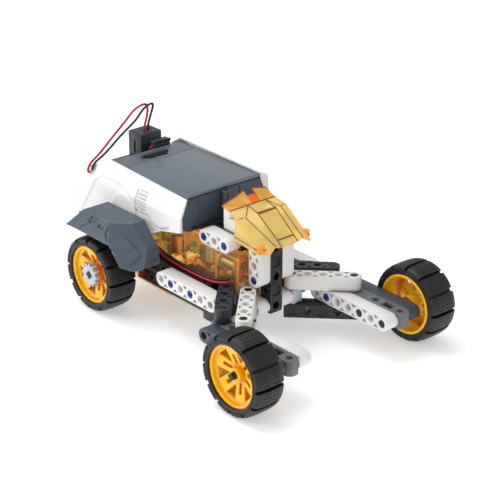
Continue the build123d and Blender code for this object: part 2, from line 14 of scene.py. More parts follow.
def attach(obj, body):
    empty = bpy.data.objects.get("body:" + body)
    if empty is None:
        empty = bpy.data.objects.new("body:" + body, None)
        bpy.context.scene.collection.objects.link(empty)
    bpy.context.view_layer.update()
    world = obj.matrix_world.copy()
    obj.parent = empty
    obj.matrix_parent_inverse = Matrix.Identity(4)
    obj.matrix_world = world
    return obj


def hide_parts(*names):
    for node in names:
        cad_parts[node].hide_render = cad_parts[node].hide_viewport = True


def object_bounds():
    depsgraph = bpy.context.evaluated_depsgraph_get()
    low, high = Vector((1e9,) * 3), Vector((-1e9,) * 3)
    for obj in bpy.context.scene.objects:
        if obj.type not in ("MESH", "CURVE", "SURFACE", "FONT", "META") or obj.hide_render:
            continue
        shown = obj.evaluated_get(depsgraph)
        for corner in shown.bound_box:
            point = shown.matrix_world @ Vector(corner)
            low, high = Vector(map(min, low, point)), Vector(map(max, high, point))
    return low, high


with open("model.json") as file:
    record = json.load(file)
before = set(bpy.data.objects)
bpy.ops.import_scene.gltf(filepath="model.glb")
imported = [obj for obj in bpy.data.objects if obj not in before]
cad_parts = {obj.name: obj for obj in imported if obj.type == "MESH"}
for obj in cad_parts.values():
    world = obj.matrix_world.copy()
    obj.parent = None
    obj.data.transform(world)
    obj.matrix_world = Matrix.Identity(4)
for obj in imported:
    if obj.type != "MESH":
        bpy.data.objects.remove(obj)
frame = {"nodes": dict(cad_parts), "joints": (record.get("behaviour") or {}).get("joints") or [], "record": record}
cad_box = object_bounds()
SLOTS = {part["node"]: part["material_slot"] for part in frame["record"]["subparts"]}

MM = 0.001
REAR_AXLE = next(joint["pos_m"] for joint in frame["joints"] if joint["name"] == "rear_wheel_spin")
ORIGIN = Vector((REAR_AXLE[0], 0, 0))


def at(x, y, z):
    return ORIGIN + Vector((x, y, z)) * MM


# ---------------------------------------------------------------- materials

def rgb(red, green, blue):
    """Linear colour of an sRGB value."""
    linear = []
    for value in (red, green, blue):
        share = value / 255
        linear.append(share / 12.92 if share <= 0.04045 else ((share + 0.055) / 1.055) ** 2.4)
    return (*linear, 1)


class Shader:
    """A material's node tree with short helpers around its Principled shader."""

    def __init__(self, name):
        self.material = bpy.data.materials.new(name)
        self.material.use_nodes = True
        self.tree = self.material.node_tree
        self.surface = self.tree.nodes["Principled BSDF"]
        self.output = self.tree.nodes["Material Output"]
        self.place = self.node("ShaderNodeTexCoord").outputs["Object"]

    def node(self, kind, **settings):
        made = self.tree.nodes.new(kind)
        for key, value in settings.items():
            setattr(made, key, value)
        return made

    def link(self, source, target):
        self.tree.links.new(source, target)

    def noise(self, scale, detail=3.0, stretch=(1, 1, 1)):
        """Noise between 0 and 1; scale counts features per metre."""
        mapping = self.node("ShaderNodeMapping")
        mapping.inputs["Scale"].default_value = stretch
        texture = self.node("ShaderNodeTexNoise")
        texture.inputs["Scale"].default_value = scale
        texture.inputs["Detail"].default_value = detail
        self.link(self.place, mapping.inputs["Vector"])
        self.link(mapping.outputs["Vector"], texture.inputs["Vector"])
        return texture.outputs["Fac"]

    def ramp(self, source, low, high, start=0.0, end=1.0):
        """Map source from low..high to start..end."""
        made = self.node("ShaderNodeMapRange")
        for key, value in (("From Min", low), ("From Max", high), ("To Min", start), ("To Max", end)):
            made.inputs[key].default_value = value
        self.link(source, made.inputs["Value"])
        return made.outputs["Result"]

    def mix(self, share, first, second):
        """Blend two colours; each is a colour or a socket."""
        made = self.node("ShaderNodeMix", data_type="RGBA")
        for value, target in ((first, made.inputs[6]), (second, made.inputs[7])):
            if isinstance(value, tuple):
                target.default_value = value
            else:
                self.link(value, target)
        if isinstance(share, float):
            made.inputs[0].default_value = share
        else:
            self.link(share, made.inputs[0])
        return made.outputs[2]

    def bump(self, height, strength, distance=0.0003):
        made = self.node("ShaderNodeBump")
        made.inputs["Strength"].default_value = strength
        made.inputs["Distance"].default_value = distance
        self.link(height, made.inputs["Height"])
        self.link(made.outputs["Normal"], self.surface.inputs["Normal"])

    def openness(self, reach):
        """1 on free faces, falling towards 0 in corners and grooves."""
        made = self.node("ShaderNodeAmbientOcclusion", samples=4)
        made.inputs["Distance"].default_value = reach
        return made.outputs["AO"]

    def edges(self, radius):
        """1 on edges and corners, 0 on flat faces."""
        soft = self.node("ShaderNodeBevel", samples=4)
        soft.inputs["Radius"].default_value = radius
        sharp = self.node("ShaderNodeNewGeometry")
        product = self.node("ShaderNodeVectorMath", operation="DOT_PRODUCT")
        self.link(soft.outputs["Normal"], product.inputs[0])
        self.link(sharp.outputs["Normal"], product.inputs[1])
        return self.ramp(product.outputs["Value"], 0.99, 0.85)


def moulded(name, colour, shade, gloss, edge_highlight=0.25, grain=0.05, coat=0.0,
            crevice_shade=None, depth=0.8, reach=0.0025):
    """Injection-moulded plastic: faint flow marks, fine grain, painted highlights on the edges and painted shade
    in corners and crevices.

    The last three settings give the painted shade in corners: its colour, depth its share there and reach its
    width.
    """
    made = Shader(name)
    colour = rgb(*colour)
    flow = made.ramp(made.noise(45, 4, (1, 1, 2.5)), 0.35, 0.7)
    body = made.mix(flow, colour, rgb(*shade))
    # painted highlight: edges are lightened towards this paler colour
    lighter = tuple(min(1, 0.72 * value + 0.28) for value in colour[:3]) + (1,)
    edge_highlight_share = made.node("ShaderNodeMath", operation="MULTIPLY")
    made.link(made.edges(0.0005), edge_highlight_share.inputs[0])
    edge_highlight_share.inputs[1].default_value = edge_highlight
    body = made.mix(edge_highlight_share.outputs[0], body, lighter)
    # painted shade: corners and grooves found by the occlusion mask are darkened towards this colour
    deep = rgb(*crevice_shade) if crevice_shade else tuple(0.3 * value for value in colour[:3]) + (1,)
    made.link(made.mix(made.ramp(made.openness(reach), 0.9, 0.4, 0, depth), body, deep),
              made.surface.inputs["Base Color"])
    roughness = made.ramp(made.noise(260, 2), 0.3, 0.7, gloss - 0.04, gloss + 0.06)
    made.link(roughness, made.surface.inputs["Roughness"])
    made.surface.inputs["Coat Weight"].default_value = coat
    made.bump(made.noise(2600, 2), grain)
    return made.material


# the crevice colours, depth and reach set each plastic's painted shade in corners
PLASTICS = {            # colour, colour of the flow marks, roughness and further settings of moulded()
    "slate_gloss": ((98, 109, 119), (92, 103, 113), 0.32, {"grain": 0.02, "coat": 0.2}),
    "cell_glass": ((100, 111, 121), (94, 105, 115), 0.28, {"edge_highlight": 0.0, "grain": 0.0, "coat": 0.3}),
    "slate": ((78, 90, 103), (68, 80, 93), 0.42, {"edge_highlight": 0.55}),
    "white": ((238, 237, 236), (230, 229, 229), 0.34, {"edge_highlight": 0.2, "crevice_shade": (92, 84, 88)}),
    "black": ((22, 23, 26), (15, 16, 19), 0.32, {"edge_highlight": 0.5}),
    "tyre": ((19, 19, 22), (12, 12, 15), 0.46, {"edge_highlight": 0.25, "grain": 0.2, "depth": 0.95}),
    # rim_yellow: the orange in its hollows is painted shade, spread wide across the dish
    "rim_yellow": ((255, 212, 36), (255, 196, 20), 0.26,
                   {"edge_highlight": 0.2, "crevice_shade": (226, 92, 8), "depth": 0.9, "reach": 0.007}),
    "grey": ((112, 115, 122), (98, 102, 108), 0.40, {}),
    "light_grey": ((190, 200, 211), (178, 189, 201), 0.36, {"crevice_shade": (62, 70, 84)}),
    "slate_deep": ((66, 77, 89), (56, 66, 78), 0.40, {"edge_highlight": 0.5}),
    "slate_dark": ((46, 54, 64), (38, 46, 56), 0.36, {"edge_highlight": 0.4}),
    "blue": ((36, 46, 140), (24, 32, 112), 0.28, {"edge_highlight": 0.1}),
    "red": ((190, 30, 36), (165, 22, 30), 0.30, {"edge_highlight": 0.1}),
    "wire_red": ((200, 30, 50), (184, 22, 42), 0.38, {"edge_highlight": 0.0}),
    "wire_black": ((30, 30, 33), (22, 22, 25), 0.38, {"edge_highlight": 0.0}),
    "motor_steel": ((196, 190, 184), (160, 154, 148), 0.30, {"edge_highlight": 0.1}),
    "gear_lime": ((226, 238, 36), (212, 226, 28), 0.34, {"edge_highlight": 0.1}),
    "gear_red": ((236, 70, 30), (220, 56, 22), 0.34, {"edge_highlight": 0.1}),
    "orange_solid": ((252, 150, 20), (246, 120, 8), 0.28, {"edge_highlight": 0.3}),
    "gear_white": ((238, 230, 220), (228, 220, 208), 0.36, {"edge_highlight": 0.1}),
    "amber_rib": ((176, 78, 8), (112, 44, 6), 0.25, {"edge_highlight": 0.2}),
}
MATERIALS = {name: moulded(name, *look, **extra) for name, (*look, extra) in PLASTICS.items()}
MATERIALS["motor_steel"].node_tree.nodes["Principled BSDF"].inputs["Metallic"].default_value = 0.9


def clear_tint(name, tint, deep, body_share, edge_share, gloss, painted_glow=0.1, edge=0.8):
    """Clear tinted plastic: light passes through the faces; edges and grazing views look deeper, and the faces
    have a painted glow.

    edge is the width of the deeper edges in millimetres.
    """
    made = Shader(name)
    tint, deep = rgb(*tint), rgb(*deep)
    facing = made.node("ShaderNodeLayerWeight")
    facing.inputs["Blend"].default_value = 0.3
    rim = made.node("ShaderNodeMath", operation="MAXIMUM")
    made.link(made.ramp(facing.outputs["Facing"], 0.55, 1.0), rim.inputs[0])
    made.link(made.edges(edge * MM), rim.inputs[1])
    cloud = made.ramp(made.noise(90, 2), 0.35, 0.7, 0, 0.15)
    colour = made.mix(rim.outputs[0], made.mix(cloud, tint, deep), deep)
    made.link(colour, made.surface.inputs["Base Color"])
    made.surface.inputs["Roughness"].default_value = gloss
    # painted glow: the faces emit light in their own colour, though they are no lamp
    made.link(colour, made.surface.inputs["Emission Color"])
    made.surface.inputs["Emission Strength"].default_value = painted_glow
    made.bump(made.noise(160, 2), 0.08, 0.0006)
    through = made.node("ShaderNodeBsdfTransparent")
    made.link(colour, through.inputs["Color"])
    blend = made.node("ShaderNodeMixShader")
    made.link(made.ramp(rim.outputs[0], 0, 1, body_share, edge_share), blend.inputs[0])
    made.link(through.outputs[0], blend.inputs[1])
    made.link(made.surface.outputs[0], blend.inputs[2])
    made.link(blend.outputs[0], made.output.inputs["Surface"])
    return made.material


TINTS = {               # tint, deep tint, solid share of faces and of edges, roughness and further settings
    "orange_clear": ((255, 246, 216), (240, 140, 28), 0.05, 0.5, 0.04, {}),
    "gold_clear": ((255, 226, 128), (206, 112, 14), 0.4, 0.9, 0.08, {"painted_glow": 0.25}),
    "amber_clear": ((246, 228, 148), (246, 176, 24), 0.5, 0.9, 0.06, {"edge": 1.6}),
    # the hood's more orange copy of the canopy tint is painted reflection and painted light shining through from
    # behind
    "amber_hood_painted_light": ((244, 208, 112), (238, 148, 22), 0.5, 0.9, 0.06, {"edge": 1.6}),
    "amber_glow": ((248, 140, 40), (226, 84, 10), 0.6, 0.9, 0.06, {"edge": 1.6}),
    "amber_socket": ((248, 176, 36), (206, 90, 6), 0.75, 0.95, 0.10, {"painted_glow": 0.2}),
}
MATERIALS.update({name: clear_tint(name, *look, **extra) for name, (*look, extra) in TINTS.items()})


# ---------------------------------------------------------------- putting pieces in the scene

BODY_OF = {node: body for body, nodes in frame["record"]["behaviour"]["bodies"].items() for node in nodes}


SHARP_ANGLE = 32        # edges between faces that meet at more than this are rounded, in degrees


def soften(piece, width):
    """Round a piece's edges and shade its flat faces flat."""
    piece.data.shade_smooth()
    weld = piece.modifiers.new("weld", "WELD")
    weld.merge_threshold = 0.000002
    bevel = piece.modifiers.new("edges", "BEVEL")
    bevel.width = width * MM
    bevel.segments = 2
    bevel.limit_method = "ANGLE"
    bevel.angle_limit = math.radians(SHARP_ANGLE)
    bevel.harden_normals = True


def show(data, name, slot, node, stands_in=True, skin=0.0, rounding=0.0, place=(0, 0, 0)):
    """Add a piece that rides with a CAD node's body and, if asked, stands in for that node."""
    if not data.materials:
        data.materials.append(MATERIALS[slot])
    piece = bpy.data.objects.new(name, data)
    bpy.context.collection.objects.link(piece)
    piece.location = place
    if skin:
        solid = piece.modifiers.new("skin", "SOLIDIFY")
        solid.thickness = skin * MM
        solid.offset = -1
    if rounding:
        soften(piece, rounding)
    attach(piece, BODY_OF[node])
    if stands_in:
        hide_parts(node)
    return piece


def faceted(faces, side, inside):
    """Open mesh of flat faces, corners in millimetres; side -1 mirrors them to the right.

    Its normals point away from the point called inside.
    """
    net = bmesh.new()
    for corners in faces:
        net.faces.new([net.verts.new(at(x, side * y, z)) for x, y, z in corners])
    bmesh.ops.remove_doubles(net, verts=net.verts, dist=0.05 * MM)
    face_outwards(net, at(inside[0], side * inside[1], inside[2]))
    return net


def face_outwards(net, inside):
    bmesh.ops.recalc_face_normals(net, faces=net.faces)
    outward = (face.normal.dot(face.calc_center_median() - inside) * face.calc_area() for face in net.faces)
    if sum(outward) < 0:
        bmesh.ops.reverse_faces(net, faces=net.faces)


def mesh_of(net, name):
    mesh = bpy.data.meshes.new(name)
    net.to_mesh(mesh)
    net.free()
    return mesh


def emboss(net, outlines, height, slope, side=1):
    """Raise the part of a flat face inside any of the convex outlines; slope is the wall's width."""
    shapes = [[at(x, side * y, z) for x, y, z in outline] for outline in outlines]
    first = shapes[0]
    normal = (first[1] - first[0]).cross(first[2] - first[0]).normalized()

    def on_plane(face):
        offset = (face.calc_center_median() - first[0]).dot(normal)
        return abs(face.normal.dot(normal)) > 0.995 and abs(offset) < 0.4 * MM

    def walls(shape):
        middle = sum(shape, Vector()) / len(shape)
        for start, end in zip(shape, shape[1:] + shape[:1]):
            wall = (end - start).cross(normal).normalized()
            yield start, wall if wall.dot(middle - start) < 0 else -wall

    for shape in shapes:
        for start, wall in walls(shape):
            faces = [face for face in net.faces if on_plane(face)]
            edges = {edge for face in faces for edge in face.edges}
            verts = {vert for face in faces for vert in face.verts}
            bmesh.ops.bisect_plane(net, geom=[*faces, *edges, *verts], dist=1e-7,
                                   plane_co=start, plane_no=wall)
    chosen = []
    for face in net.faces:
        middle = face.calc_center_median()
        if on_plane(face) and any(all((middle - start).dot(wall) < 0 for start, wall in walls(shape))
                                  for shape in shapes):
            chosen.append(face)
    bmesh.ops.inset_region(net, faces=chosen, use_boundary=False, use_even_offset=False,
                           thickness=slope * MM, depth=height * MM)


def strip(points, width, normal):
    """Rectangles along a polyline that lies in the plane with the given normal."""
    outlines = []
    for start, end in zip(points, points[1:]):
        start, end = Vector(start), Vector(end)
        run = (end - start).normalized() * width / 2
        across = Vector(normal).cross(run)
        start, end = start - run, end + run
        outlines.append([start + across, end + across, end - across, start - across])
    return outlines


TOOTH_DEPTH = 1.4
DRUM_SIDES = 40


def drum(name, place, radius, length, axis, slot, node, teeth=0, bore=0.0, rounding=0.3):
    """Round or toothed disc centred on a place given in millimetres; axis is X, Y or Z."""
    net = bmesh.new()
    count = 4 * teeth or DRUM_SIDES
    for ring_radius in ([radius, bore] if bore else [radius]):
        corners = []
        for i in range(count):
            turn = 2 * math.pi * i / count
            in_gap = teeth and ring_radius == radius and i % 4 > 1
            reach = ring_radius - (TOOTH_DEPTH if in_gap else 0)
            corners.append(Vector((reach * math.cos(turn), reach * math.sin(turn), -length / 2)) * MM)
        verts = [net.verts.new(corner) for corner in corners]
        for start, end in zip(verts, verts[1:] + verts[:1]):
            net.edges.new((start, end))
    bmesh.ops.triangle_fill(net, use_beauty=True, use_dissolve=True, edges=net.edges)
    lifted = bmesh.ops.extrude_face_region(net, geom=net.faces[:])
    top = [item for item in lifted["geom"] if isinstance(item, bmesh.types.BMVert)]
    bmesh.ops.translate(net, verts=top, vec=Vector((0, 0, length)) * MM)
    bmesh.ops.recalc_face_normals(net, faces=net.faces)
    turned = {"X": Matrix.Rotation(math.pi / 2, 3, "Y"), "Y": Matrix.Rotation(-math.pi / 2, 3, "X"),
              "Z": Matrix.Identity(3)}
    bmesh.ops.rotate(net, verts=net.verts, matrix=turned[axis])
    return show(mesh_of(net, name), name, slot, node, stands_in=False, rounding=rounding, place=at(*place))


def block(name, low, high, slot, node, rounding=0.25):
    """Rounded box between two corners given in millimetres."""
    net = bmesh.new()
    bmesh.ops.create_cube(net, size=1)
    low, high = at(*low), at(*high)
    for vert in net.verts:
        vert.co = Vector(low[i] if vert.co[i] < 0 else high[i] for i in range(3))
    return show(mesh_of(net, name), name, slot, node, stands_in=False, rounding=rounding)


def rod(points, radius, name, slot, node):
    """Round bar through the points, given in millimetres."""
    curve = bpy.data.curves.new(name, "CURVE")
    curve.dimensions = "3D"
    curve.bevel_depth = radius * MM
    curve.bevel_resolution = 2
    curve.use_fill_caps = True
    line = curve.splines.new("POLY")
    line.points.add(len(points) - 1)
    for knot, point in zip(line.points, points):
        knot.co = (*at(*point), 1)
    return show(curve, name, slot, node, stands_in=False)


# ---------------------------------------------------------------- carried-over CAD pieces

REPAINTED = {
    "plug_box": "slate_dark", "lid_latch": "slate_dark", "panel_housing": "slate_deep",
    "arm_slate_left": "slate_dark", "arm_slate_right": "slate_dark",
    "wheel_rail_left": "slate_deep", "wheel_rail_right": "slate_deep",
}


def finish_cad():
    """Every CAD piece gets its slot's material, rounded edges and even shading."""
    for name, piece in frame["nodes"].items():
        piece.data.materials.clear()
        piece.data.materials.append(MATERIALS[REPAINTED.get(name, SLOTS[name])])
        soften(piece, 0.25)


# ---------------------------------------------------------------- tyres

TYRE_WIDTH = 21.5
AXLE_Z = 26.0
TYRE_PLACES = {"rear": (0.0, 43.5), "front": (167.3, 62.2)}     # x of the axle and y of the inner face
BLOCKS = 12
GROOVE = 2.9            # half width of a tread groove, in degrees
GROOVE_R = 23.1         # radius of a groove's floor
GROOVE_REACH = 9.6      # distance of a groove's ends from the middle plane
SIDEWALL_R = 22.7       # grooves stay outside this radius
SLIT = 0.45             # half width of a fine slit, in degrees
SLIT_DEPTH = 0.6
SLIT_ROWS = ((0.8, 3.2), (3.3, 6.1))
SLITS = 4               # slits on every block
TYRE_PROFILE = [        # radius and distance from the middle plane, from the tread to the bore
    (26.0, 0.0), (26.0, 0.7), (26.0, 0.9), (25.93, 3.0), (25.92, 3.4), (25.85, 6.0), (25.83, 6.2),
    (25.5, 8.6), (24.9, 10.0), (24.2, 10.6), (22.9, 10.75), (22.6, 10.25), (21.9, 10.2), (21.6, 10.65),
    (20.6, 10.6), (20.05, 10.2),
]


def tyre_stations():
    """Angles round the tyre in degrees, each with what is cut there."""
    stations = []
    block = 360 / BLOCKS
    for i in range(BLOCKS):
        start = i * block
        stations += [(start - GROOVE, "block"), (start - GROOVE + 0.25, "groove"),
                     (start + GROOVE - 0.25, "groove"), (start + GROOVE, "block")]
        for j in range(1, SLITS + 1):
            middle = start + j * block / (SLITS + 1)
            stations += [(middle - SLIT - 0.1, "block"), (middle - SLIT, "slit"),
                         (middle + SLIT, "slit"), (middle + SLIT + 0.1, "block"), (middle + 2.6, "block")]
        stations.pop()
    return stations


def tyre_mesh():
    """Tyre round the Y axis: twelve blocks, dashed slits and a ring groove in each sidewall."""
    loop = [(radius, -offset) for radius, offset in reversed(TYRE_PROFILE[1:])] + TYRE_PROFILE
    rings = []
    net = bmesh.new()
    for angle, cut in tyre_stations():
        turn = math.radians(angle)
        ring = []
        for radius, offset in loop:
            if cut == "groove" and radius > SIDEWALL_R:
                radius = min(radius, GROOVE_R)
                offset = max(-GROOVE_REACH, min(GROOVE_REACH, offset))
            elif cut == "slit" and any(low < abs(offset) < high for low, high in SLIT_ROWS):
                radius -= SLIT_DEPTH
            corner = Vector((radius * math.cos(turn), offset, radius * math.sin(turn)))
            ring.append(net.verts.new(corner * MM))
        rings.append(ring)
    for ring, following in zip(rings, rings[1:] + rings[:1]):
        for i in range(len(ring)):
            j = (i + 1) % len(ring)
            net.faces.new((ring[i], ring[j], following[j], following[i]))
    bmesh.ops.recalc_face_normals(net, faces=net.faces)
    return mesh_of(net, "tyre")


def tyres():
    mesh = tyre_mesh()
    for end, (x, inner) in TYRE_PLACES.items():
        for side, sign in (("left", 1), ("right", -1)):
            show(mesh, f"tread_{end}_{side}", "tyre", f"tyre_{end}_{side}", rounding=0.18,
                 place=at(x, sign * (inner + TYRE_WIDTH / 2), AXLE_Z))


# ---------------------------------------------------------------- mudguards

FENDER_TOP = [
    (-8.6, 40.2, 69.5), (-8.6, 60.5, 69.5), (20.6, 60.5, 69.5), (31.5, 51.6, 69.5), (31.5, 40.2, 69.5),
]
FENDER_LOW = [          # lower edge from the rear of the skirt to the inner front
    (-22.9, 65.05, 55.8), (24.7, 65.0, 56.0), (35.2, 63.96, 43.4), (41, 60, 42), (44, 57.5, 42),
    (47, 54.2, 43.6), (46.9, 40.2, 43.6),
]
FENDER_REAR = (-22.9, 40.2, 55.8)
FENDER_FRONT = [(45, 40.2, 54.5), (45, 49.3, 54.5)]
FENDER_SHIELD = [
    (25.1, 63.9, 57.6), (28.5, 59.3, 60.6), (30.8, 57.3, 60.8), (33.4, 55.7, 59.9), (41.8, 52.8, 53.2),
    (42.9, 53.2, 50.9), (41.3, 56.9, 46.9), (39.5, 59.2, 45.5), (34, 62.8, 47), (26.4, 65.0, 53.4),
]
SKIRT_NORMAL = (0, 0.949, 0.315)


def on_skirt(*places):
    """Points of the skirt's outer face from their x and z."""
    return [(x, 60.5 + (69.5 - z) * 0.332, z) for x, z in places]


def fender(side, sign):
    top_rear, top_out, top_corner, top_front, top_in = FENDER_TOP
    front_in, front_out = FENDER_FRONT
    skirt_rear, skirt_front, *hem = FENDER_LOW
    net = faceted([
        FENDER_TOP,
        [top_in, top_front, front_out, front_in],
        [front_in, front_out, hem[-2], hem[-1]],
        [top_front, top_corner, skirt_front, *hem[:-1], front_out],
        [top_out, skirt_rear, skirt_front, top_corner],
        [top_rear, FENDER_REAR, skirt_rear, top_out],
    ], sign, (10, 45, 45))
    emboss(net, [FENDER_SHIELD], 1.3, 0.8, sign)
    chevron = strip(on_skirt((-7.5, 59.4), (0.9, 65.0), (1.5, 67.6)), 1.2, SKIRT_NORMAL)
    emboss(net, chevron + strip(on_skirt((0.9, 65.0), (6.8, 67.6)), 1.2, SKIRT_NORMAL), 0.8, 0.2, sign)
    crease = strip(on_skirt((21.6, 58.2), (18.6, 61.6), (20.3, 67.4)), 1.3, SKIRT_NORMAL)
    emboss(net, crease, 0.9, 0.3, sign)
    emboss(net, [on_skirt((9.4, 63.2), (16.0, 63.2), (16.0, 65.8), (10.6, 65.8))], -0.8, 0.3, sign)
    emboss(net, [on_skirt((-19.5, 57.2), (-15.6, 57.2), (-9.6, 67.2), (-12.0, 66.6))], 0.6, 0.5, sign)
    lip = [(45.35, 42.0, 52.6), (45.4, 48.4, 52.6), (46.6, 50.6, 45.8), (46.6, 42.0, 45.8)]
    emboss(net, [lip], -0.6, 0.4, sign)
    show(mesh_of(net, "fender"), f"mudguard_{side}", "slate", f"fender_{side}", skin=1.8, rounding=0.35)


# ---------------------------------------------------------------- side covers

SHELL_REAR = [(-59.8, 57.3), (-42.5, 81), (-31, 88.2), (-27.5, 90.2), (-19.9, 94.6)]
SHELL_BOTTOM = [(-59.8, 56.6), (-57, 50.5), (-46, 50), (22, 56), (36, 60.5), (44, 64.8), (64.2, 69.5)]
SHELL_FRONT_X = 64.2
SHELL_SKINS = {         # height of the top edge at the front, and the skin from behind (z, y)
    "right": (91.0, [(49, 38.0), (66, 37.0), (78.4, 36.8), (91.2, 31.0), (96, 30.6)]),
    "left": (93.2, [(49, 38.0), (86, 37.8), (91, 37.0), (92.4, 34.6), (93.2, 30.9), (96, 30.6)]),
}
SHELL_EDGE = [(49, 35.0), (79, 35.0), (90.4, 30.45), (96, 30.45)]
SHELL_STEP = 0.6        # distance between the columns of the mesh
SHELL_ROWS = 64
PANEL_LINE = [(-1.0, 83.6), (-12.4, 84.4), (-21.6, 83.6), (-27.7, 79.4), (-34.8, 68.2), (-43.5, 54.5)]
SEAM = [(17.0, 70.9), (24.1, 70.6), (29.3, 71.0), (33.4, 69.8), (36.6, 66.0), (44.1, 66.2), (52, 69.4)]
BOSS_CENTRE = (4.5, 65.5)
BOSS_R = 12.4
BOSS_FRONT_X = 17.2     # a slot cuts the round boss off here
BOSS_RIB_X = -2.0       # the boss is ribbed forward of here
BOSS_RIB_PITCH = 1.7
SLOT_X = 17.4
SLOT_Z = (70.2, 84.6)
VENT_X = (19.4, 28.0)
VENT_Z = (71.8, 85.6)
LOUVRE_PITCH = 2.2
SEAM_X = (17, 52)       # below the seam the skin is stepped in


def along(points, place):
    """Second coordinate at a place on a line through points sorted by their first."""
    for (start, low), (end, high) in zip(points, points[1:]):
        if place <= end:
            return low + (high - low) * max(0.0, (place - start) / (end - start))
    return points[-1][1]


def from_line(points, x, z):
    """Distance from a point to a polyline."""
    here = Vector((x, z))
    best = 1000.0
    for start, end in zip(points, points[1:]):
        start, end = Vector(start), Vector(end)
        run = end - start
        share = max(0.0, min(1.0, (here - start).dot(run) / run.length_squared))
        best = min(best, (here - start - run * share).length)
    return best


def ease(value, low, high):
    """0 below low, 1 above high and smooth between."""
    share = max(0.0, min(1.0, (value - low) / (high - low)))
    return share * share * (3 - 2 * share)


def near(distance, core, reach):
    """1 within the core distance, falling to 0 at the reach."""
    return 1 - ease(distance, core, reach)


def between(value, low, high, blend=0.6):
    """1 between low and high, fading to 0 at both ends."""
    return ease(value, low, low + blend) * (1 - ease(value, high - blend, high))


def off_step(z, pitch):
    """Distance from the middle of the nearest of evenly spaced steps."""
    return abs((z % pitch) - pitch / 2)


def shell_relief(x, z):
    """How far the side cover's skin stands out at a place, in millimetres."""
    height = 0.55 * near(from_line(PANEL_LINE, x, z), 0.5, 1.1)
    reach = math.hypot(x - BOSS_CENTRE[0], z - BOSS_CENTRE[1])
    if x < BOSS_FRONT_X:
        rib = ease(off_step(z, BOSS_RIB_PITCH), 0.35, 0.6) * ease(x, BOSS_RIB_X, 0)
        height += near(reach, BOSS_R - 0.8, BOSS_R) * (0.5 + 0.35 * rib)
        height += 0.5 * near(abs(reach - BOSS_R), 0.3, 0.8)
    height -= 0.9 * near(abs(x - SLOT_X), 0.3, 0.8) * between(z, *SLOT_Z)
    vent = between(x, *VENT_X) * between(z, *VENT_Z)
    height += vent * (0.35 - 0.8 * near(off_step(z, LOUVRE_PITCH), 0.25, 0.6))
    seam = from_line(SEAM, x, z)
    height -= near(seam, 0.3, 0.9)
    if SEAM_X[0] < x < SEAM_X[1] and z < along(SEAM, x):
        height -= 0.7 * ease(seam, 0.3, 0.9)
    return height


def body_shell(side, sign):
    """Side cover: a skin with raised and cut detail, folded in along its outline."""
    front_z, skin = SHELL_SKINS[side]
    top = [*SHELL_REAR, (SHELL_FRONT_X, front_z)]
    first, last = SHELL_REAR[0][0], SHELL_FRONT_X
    columns = round((last - first) / SHELL_STEP)
    net = bmesh.new()
    grid = []
    for i in range(columns + 1):
        x = first + (last - first) * i / columns
        low, high = along(SHELL_BOTTOM, x), along(top, x)
        column = []
        for j in range(SHELL_ROWS + 1):
            z = low + (high - low) * j / SHELL_ROWS
            margin = min(z - low, high - z, last - x, x - first + 1)
            y = along(skin, z) + shell_relief(x, z) * ease(margin, 0.3, 1.2)
            column.append(net.verts.new(at(x, sign * y, z)))
        grid.append(column)
    for near, far in zip(grid, grid[1:]):
        for j in range(SHELL_ROWS):
            net.faces.new((near[j], near[j + 1], far[j + 1], far[j]))
    rim = [edge for edge in net.edges if edge.is_boundary]
    folded = bmesh.ops.extrude_edge_only(net, edges=rim)
    for vert in folded["geom"]:
        if isinstance(vert, bmesh.types.BMVert):
            height = (vert.co - ORIGIN).z / MM
            vert.co.y = sign * along(SHELL_EDGE, height) * MM
    face_outwards(net, at(10, 0, 75))
    cover = mesh_of(net, "body_shell")
    show(cover, f"side_cover_{side}", "white", f"body_shell_{side}", skin=1.2, rounding=0.3)


# ---------------------------------------------------------------- canopy

HOOD_NOTCH, HOOD_STEP = (89.8, 3.4, 94.4), (87.2, 3.8, 97.2)
HOOD_TOP, HOOD_REAR, HOOD_SIDE = (90.0, 12.4, 96.2), (85.2, 19.7, 90.5), (92.2, 18.6, 88.9)
CREASE_MID, CREASE = (95.6, 3.6, 91.0), (95.6, 7.1, 90.9)
PANE_TOP, PANE_LOW = (105.3, 7.4, 88.4), (123.0, 6.7, 75.9)
RIDGE_TOP, RIDGE_LOW = (102.1, 14.5, 86.3), (126.6, 11.2, 74.0)
WING_TOP, WING_REAR = (100, 21.3, 85.5), (98, 21, 71.5)
WING_LOW, WING_TIP = (120, 21, 69.6), (128, 17.2, 71.0)
LIP = (126.8, 6.8, 72.6)
FOLD_RIB_R = 0.36


def mirrored(*points):
    return [(x, -y, z) for x, y, z in reversed(points)]


